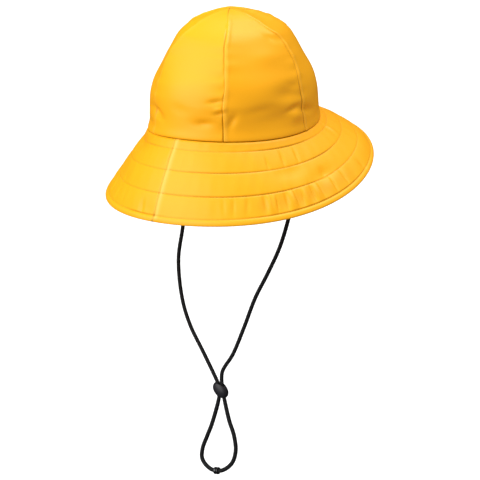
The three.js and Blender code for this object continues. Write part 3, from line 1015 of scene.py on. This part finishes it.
def brim_point(angle, across, depth):
    """A point of the brim: from the seam it runs outwards and down on a slope that turns evenly from its
    seam value to its edge value. Depth goes into the cloth at right angles to the slope."""
    seam_slope = around_head(angle, *brim_seam_slope)
    edge_slope = around_head(angle, *brim_edge_slope)
    width = around_head(angle, *brim_width)
    half_bend = (edge_slope - seam_slope) * across / 2
    chord = width * across * np.sinc(half_bend / np.pi)
    slope = seam_slope + 2 * half_bend
    out = chord * np.cos(seam_slope + half_bend) - depth * np.sin(slope)
    down = chord * np.sin(seam_slope + half_bend) + depth * np.cos(slope)
    outward = seam_outward(angle)
    seam = seam_point(angle)
    x = seam[..., 0] + out * outward[..., 0]
    y = seam[..., 1] + out * outward[..., 1]
    return np.stack([x, y, seam[..., 2] - down], -1)


def row_draw(row, azimuth):
    """How strongly a row of stitching draws the cloth in, round the brim: a sum of bells."""
    drawn = row_least
    for middle, span, strength in row_pulls[row]:
        drawn = drawn + strength * bell((azimuth - middle + 90) % 180 - 90, span)
    return drawn


def from_axis(angle, across):
    """Distance of a place on the plain brim from the upright axis."""
    return np.linalg.norm(brim_point(angle, across, 0)[..., :2], axis=-1)


def off_join(angle, across):
    """Distance round the brim from the centre back join."""
    return (angle - join_angle) * from_axis(angle, across)


def brim_relief(angle, across, side):
    """Height of the upper (side 1) or under (side -1) face above the plain brim: quilting that swells
    between the rows and sinks into each, wrinkles, a full turned edge and the centre back join."""
    width = around_head(angle, *brim_width)
    azimuth = np.degrees(angle)
    edges = np.array([0, *stitch_rows, 1.0])
    gap = np.clip(np.searchsorted(edges, across, side="right") - 1, 0, len(edges) - 2)
    share = np.clip((across - edges[gap]) / (edges[gap + 1] - edges[gap]), 0, 1)
    relief = ring_swell * np.sin(np.pi * share) ** ring_swell_power
    turned_edge = edge_swell * np.sin(np.pi / 2 * np.minimum(1, edge_swell_rise * share))
    relief = np.where(gap == len(stitch_rows), turned_edge, relief)
    for ring in range(len(stitch_rows)):
        uneven = ripple(angle, low=18, high=60, seed=40 + ring)
        relief = relief + ring_unevenness * (gap == ring) * np.sin(np.pi * share) * uneven
    crumpled = bell(turn_past(azimuth, crumple_middle), crumple_span) * (gap == len(stitch_rows) - 1)
    waves = ripple(angle, low=26, high=66, seed=71)
    relief = relief + crumple_height * side * crumpled * np.sin(np.pi * share) * waves
    for row, level in enumerate(stitch_rows):
        relief = relief - row_draw(row, azimuth) * ridge((across - level) * width, *row_groove)
    relief = relief - side * folds_at(brim_folds, azimuth, across, from_axis(angle, across), width)
    beside = off_join(angle, across)
    past = np.maximum(beside, 0)
    band = join_band_height * (1 - bell(past, join_band_start)) * np.exp(-past / join_band_fall)
    pinch = ridge(beside, *join_pinch) * bell((across - stitch_rows[3]) * width, join_pinch_length)
    joined = np.where(abs(beside) < join_reach, band - ridge(beside, *join_groove) - pinch, 0)
    relief = relief + joined * np.clip(across / join_start, 0, 1)
    if side > 0:
        relief = relief - foot_depth(angle) * ridge(across * width, *inner_groove)
        relief = relief + ridge(across * width, *inner_swell)
    return relief


def brim_painted_shade(angle, across):
    """How much painted shade a point of the brim gets, from 0 to 1: in a sewn crease, and on the right in
    the crown's shadow and in the crumpled outer ring.
    """
    width = around_head(angle, *brim_width)
    azimuth = np.degrees(angle)
    beside = off_join(angle, across)
    painted_shade = foot_depth(angle) * bell(across * width, foot_painted_shade_width) + ridge(beside, *join_painted_shade)
    pinch = ridge(beside, *pinch_painted_shade) * bell((across - stitch_rows[3]) * width, pinch_painted_shade_length)
    painted_shade = painted_shade + pinch
    for row, level in enumerate(stitch_rows):
        painted_shade = painted_shade + row_draw(row, azimuth) * ridge((across - level) * width, *row_painted_shade)
    # painted shade on the right: the crown's shadow beside the foot, and shade in the crumpled outer ring
    right_shade = bell(turn_past(azimuth, right_shade_middle), right_shade_span)
    foot = ridge(across * width, *right_shade_foot) * (right_shade_foot_least + (1 - right_shade_foot_least) * right_shade)
    change = right_shade_ring_change * ripple(angle, low=14, high=44, seed=77)
    ring = bell((across - right_shade_ring_place) * width, right_shade_ring_width) * (right_shade_ring_strength + change)
    return np.clip(painted_shade + foot + ring * right_shade, 0, 1)


def brim_dent(angle, across):
    """Depth of the brim's broad dents, which fade out towards the crown."""
    return brim_dent_depth * dents_at(brim_dents, angle, across) * np.minimum(1, across * brim_dent_rise)


def face_depth(angle, across, side):
    """Depth of the upper (side 1) or under (side -1) face below the plain brim, with dents and relief."""
    dent = brim_dent(angle, across)
    relief = brim_relief(half_turn(angle - join_angle) + join_angle, across, side)
    return dent - relief if side > 0 else dent + brim_thickness + relief


def brim_columns(count, crumple_crowding=(1.7, 62, 145), join_crowding=2.5, join_span=0.03):
    """Angles round the brim from the join, closer together where it wrinkles most and at the join: as
    many for each stretch as its weight, one plus a bell at each of these places."""
    even = np.linspace(0, 2 * np.pi, 4001)
    azimuth = np.degrees(even + join_angle)
    weight = 1 + ridge(azimuth, *crumple_crowding)
    weight = weight + join_crowding * (bell(even, join_span) + bell(even - 2 * np.pi, join_span))
    passed = np.append(0, np.cumsum((weight[1:] + weight[:-1]) / 2))
    return np.interp(np.linspace(0, passed[-1], count, endpoint=False), passed, even) + join_angle


def brim_surface(columns=1000, round_rows=7):
    """A closed band: over the upper face, round the turned edge as a half circle, back along the under
    face and up the inner end. Rows crowd near the stitching."""
    beside = np.array([-0.022, -0.014, -0.008, 0, 0.008, 0.014, 0.022])
    close = np.concatenate([beside + row for row in stitch_rows])
    top = np.sort(np.concatenate([np.linspace(0, 1, 22), close, [0.007, 0.014, 0.022, 0.034]]))
    foot = np.sort(np.concatenate([np.linspace(0, 1, 14), close[1::2]]))
    top, foot = top[top < 1], foot[foot < 1]
    angle = brim_columns(columns)[:, None]
    signed = half_turn(angle - join_angle) + join_angle
    width = around_head(angle, *brim_width)
    top, foot = top[None], foot[None, ::-1]
    upper = brim_point(angle, top, face_depth(angle, top, 1))
    under = brim_point(angle, foot, face_depth(angle, foot, -1))
    lean = np.linspace(0, np.pi, round_rows + 2)[1:-1][None]
    half = brim_thickness / 2 + edge_swell
    reach = 1 - half * (1 - np.sin(lean)) / width
    edge_depth = brim_dent(angle, np.ones((1, 1))) - edge_swell + half * (1 - np.cos(lean))
    edge = brim_point(angle, reach, edge_depth)
    ledge = seam_point(angle) - crown_wall * seam_outward(angle)
    inner_end = (ledge + under[:, -1:]) / 2
    loop = np.concatenate([ledge, upper, edge, under, inner_end], 1)
    number = grid_numbers(loop)
    faces = strip_faces(number, np.roll(number, -1, 0), True)
    uv = np.stack(np.broadcast_arrays(angle * brim_middle_radius, run_along(loop[0])[None]), -1)
    # painted shade in creases, on the right and where the edge turns under; painted highlights on the join's
    # band and the edge
    painted_shade, painted_highlight = np.zeros((2, *loop.shape[:2]))
    painted_shade[:, 1:1 + top.size] = brim_painted_shade(signed, top)
    painted_shade[:, -1 - foot.size:-1] = under_painted_shade_share * brim_painted_shade(signed, foot)
    # painted shade where the turned edge goes under, and on the edge at the join
    turned = edge_painted_shade_strength * np.clip(lean - edge_painted_shade_from, 0, 1)
    painted_shade[:, 1 + top.size:-1 - foot.size] = np.maximum(ridge(off_join(signed, 1.0), *join_notch_shade), turned)
    band = ridge(off_join(signed, top), *join_painted_highlight)
    painted_highlight[:, 1:1 + top.size] = band + ridge((top - edge_painted_highlight_place) * width, *edge_painted_highlight)
    return loop.reshape(-1, 3), faces[:, ::-1], uv.reshape(-1, 2), {"painted_shade": painted_shade, "painted_highlight": painted_highlight}


brim = new_piece("stitched_brim", coated_finish("coated_brim_cloth"), *brim_surface())
brim.data.set_sharp_from_angle(angle=math.radians(60))
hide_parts("brim")
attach(brim, "root")


# The brim's thread: even lockstitches in each row, above and below, sunk in the groove that they pull.
stitch_pitch = 0.0034
stitch_length = 0.0025
thread_radius = 0.00022
thread_lift = 0.35
thread_light = (0.92, 0.41, 0.003)
thread_deep = (0.82, 0.35, 0.002)


def capped_faces(number, foot, top, turned):
    """Quads between the rings of a tube, and triangles from its end rings to two tips. Where turned is
    -1 instead of 1, they face the other way."""
    faces = strip_faces(number[:-1], number[1:], True)[:, ::turned].tolist()
    for tip, ring, order in ((foot, number[0], -turned), (top, number[-1], turned)):
        pairs = zip(ring.tolist(), np.roll(ring, -1).tolist())
        faces += [[tip, *pair[::order]] for pair in pairs]
    return faces


def stitch_shape(sides=6, rings=5):
    """A short round bar with rounded ends, lying along X about the origin."""
    lean = np.linspace(0, np.pi, rings)[1:-1]
    place = -np.cos(lean) * stitch_length / 2
    radius = thread_radius * np.sin(lean) ** 0.5
    turn = full_turn(sides)
    ring = np.stack([
        np.broadcast_to(place[:, None], (len(place), sides)),
        radius[:, None] * np.cos(turn),
        radius[:, None] * np.sin(turn),
    ], -1).reshape(-1, 3)
    points = np.vstack([ring, [[-stitch_length / 2, 0, 0], [stitch_length / 2, 0, 0]]])
    number = np.arange(len(ring)).reshape(-1, sides)
    return points, capped_faces(number, len(ring), len(ring) + 1, -1)


def stitch_row(row, side):
    """Places, headings and normals of one row's stitches, an even pitch apart round the brim."""
    angle = np.linspace(0, 2 * np.pi, 2001) + join_angle
    run = run_along(brim_point(angle, row, 0))
    count = int(run[-1] / stitch_pitch)
    angle = np.interp((np.arange(count) + 0.5) * run[-1] / count, run, angle)
    depth = face_depth(angle, np.full_like(angle, row), side) - side * thread_radius * thread_lift
    place = brim_point(angle, row, depth)
    step = 0.002
    heading = unit(brim_point(angle + step, row, depth) - brim_point(angle - step, row, depth))
    normal = unit(brim_point(angle, row, 0) - brim_point(angle, row, 0.001))
    return place, heading, unit(normal - (normal * heading).sum(-1, keepdims=True) * heading)


def stitched_thread():
    """All stitches as one array: the bar's points turned to each heading and moved to each place."""
    bar, bar_faces = stitch_shape()
    rows = [stitch_row(row, side) for row in stitch_rows for side in (1, -1)]
    place, heading, normal = (np.concatenate(part) for part in zip(*rows))
    axes = np.stack([heading, np.cross(normal, heading), normal], 1)
    points = place[:, None] + np.einsum("pk,nkj->npj", bar, axes)
    steps = np.arange(len(place)) * len(bar)
    faces = [(np.array(face) + step).tolist() for step in steps for face in bar_faces]
    return points.reshape(-1, 3), faces


thread_finish, _ = grained_finish(
    "yellow_thread", thread_light, thread_deep, (0.55, 0.7), grain=6000, cloud=400, depth=0.00002)
thread = new_piece("brim_stitching", thread_finish, *stitched_thread())
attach(thread, "root")


# The cord tabs: a short strip of the coated cloth folded over the cord's end, sewn into the seam inside
# the crown beside each ear. They are hidden in the photograph's view.
tab_width = 0.011
tab_thickness = 0.005
tab_squareness = 0.45
tab_end_roundness = 0.22
tab_row_spread = 0.8
tab_waist_depth = 0.25
tab_waist_level = 0.45
tab_waist_span = 0.16
tab_light = (0.88, 0.43, 0.014)
tab_deep = (0.82, 0.38, 0.010)


def tab_surface(node, sides=48, rows=40):
    """A soft oblong bar: its section is a rounded oblong that narrows at the foot and the top as the
    cloth closes over, with a waist above the place where the cord's end lies inside."""
    low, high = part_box(node)
    middle = (np.array(low) + np.array(high)) / 2
    tall = high.z - low.z
    outward = unit(np.array([middle[0] / head_half_width**2, middle[1] / head_half_length**2, 0]))
    beside = np.cross([0, 0, 1], outward)
    turn = full_turn(sides)
    lean = np.linspace(0, np.pi, rows + 2)[1:-1, None]
    end = np.sin(lean) ** tab_end_roundness
    level = square_off(-np.cos(lean), tab_row_spread)
    x = tab_width / 2 * square_off(np.cos(turn), tab_squareness) * end
    y = tab_thickness / 2 * square_off(np.sin(turn), tab_squareness) * end
    y = y * (1 - tab_waist_depth * bell(level - tab_waist_level, tab_waist_span))
    z = np.broadcast_to(tall / 2 * level, x.shape)
    skin = middle + x[..., None] * beside + y[..., None] * outward + z[..., None] * np.array([0, 0, 1.0])
    poles = middle + np.array([[0, 0, -tall / 2], [0, 0, tall / 2]])
    points = np.vstack([skin.reshape(-1, 3), poles])
    return points, capped_faces(grid_numbers(skin), len(points) - 2, len(points) - 1, 1)


tab_finish, _ = grained_finish(
    "tab_cloth", tab_light, tab_deep, (0.4, 0.5), grain=1700, cloud=60, depth=0.00003)
for side in ("left", "right"):
    tab = new_piece("folded_cord_tab_" + side, tab_finish, *tab_surface("cord_tab_" + side))
    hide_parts("cord_tab_" + side)
    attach(tab, "root")


def corners(box):
    """A box as plain lists."""
    return [[float(value) for value in corner] for corner in box]
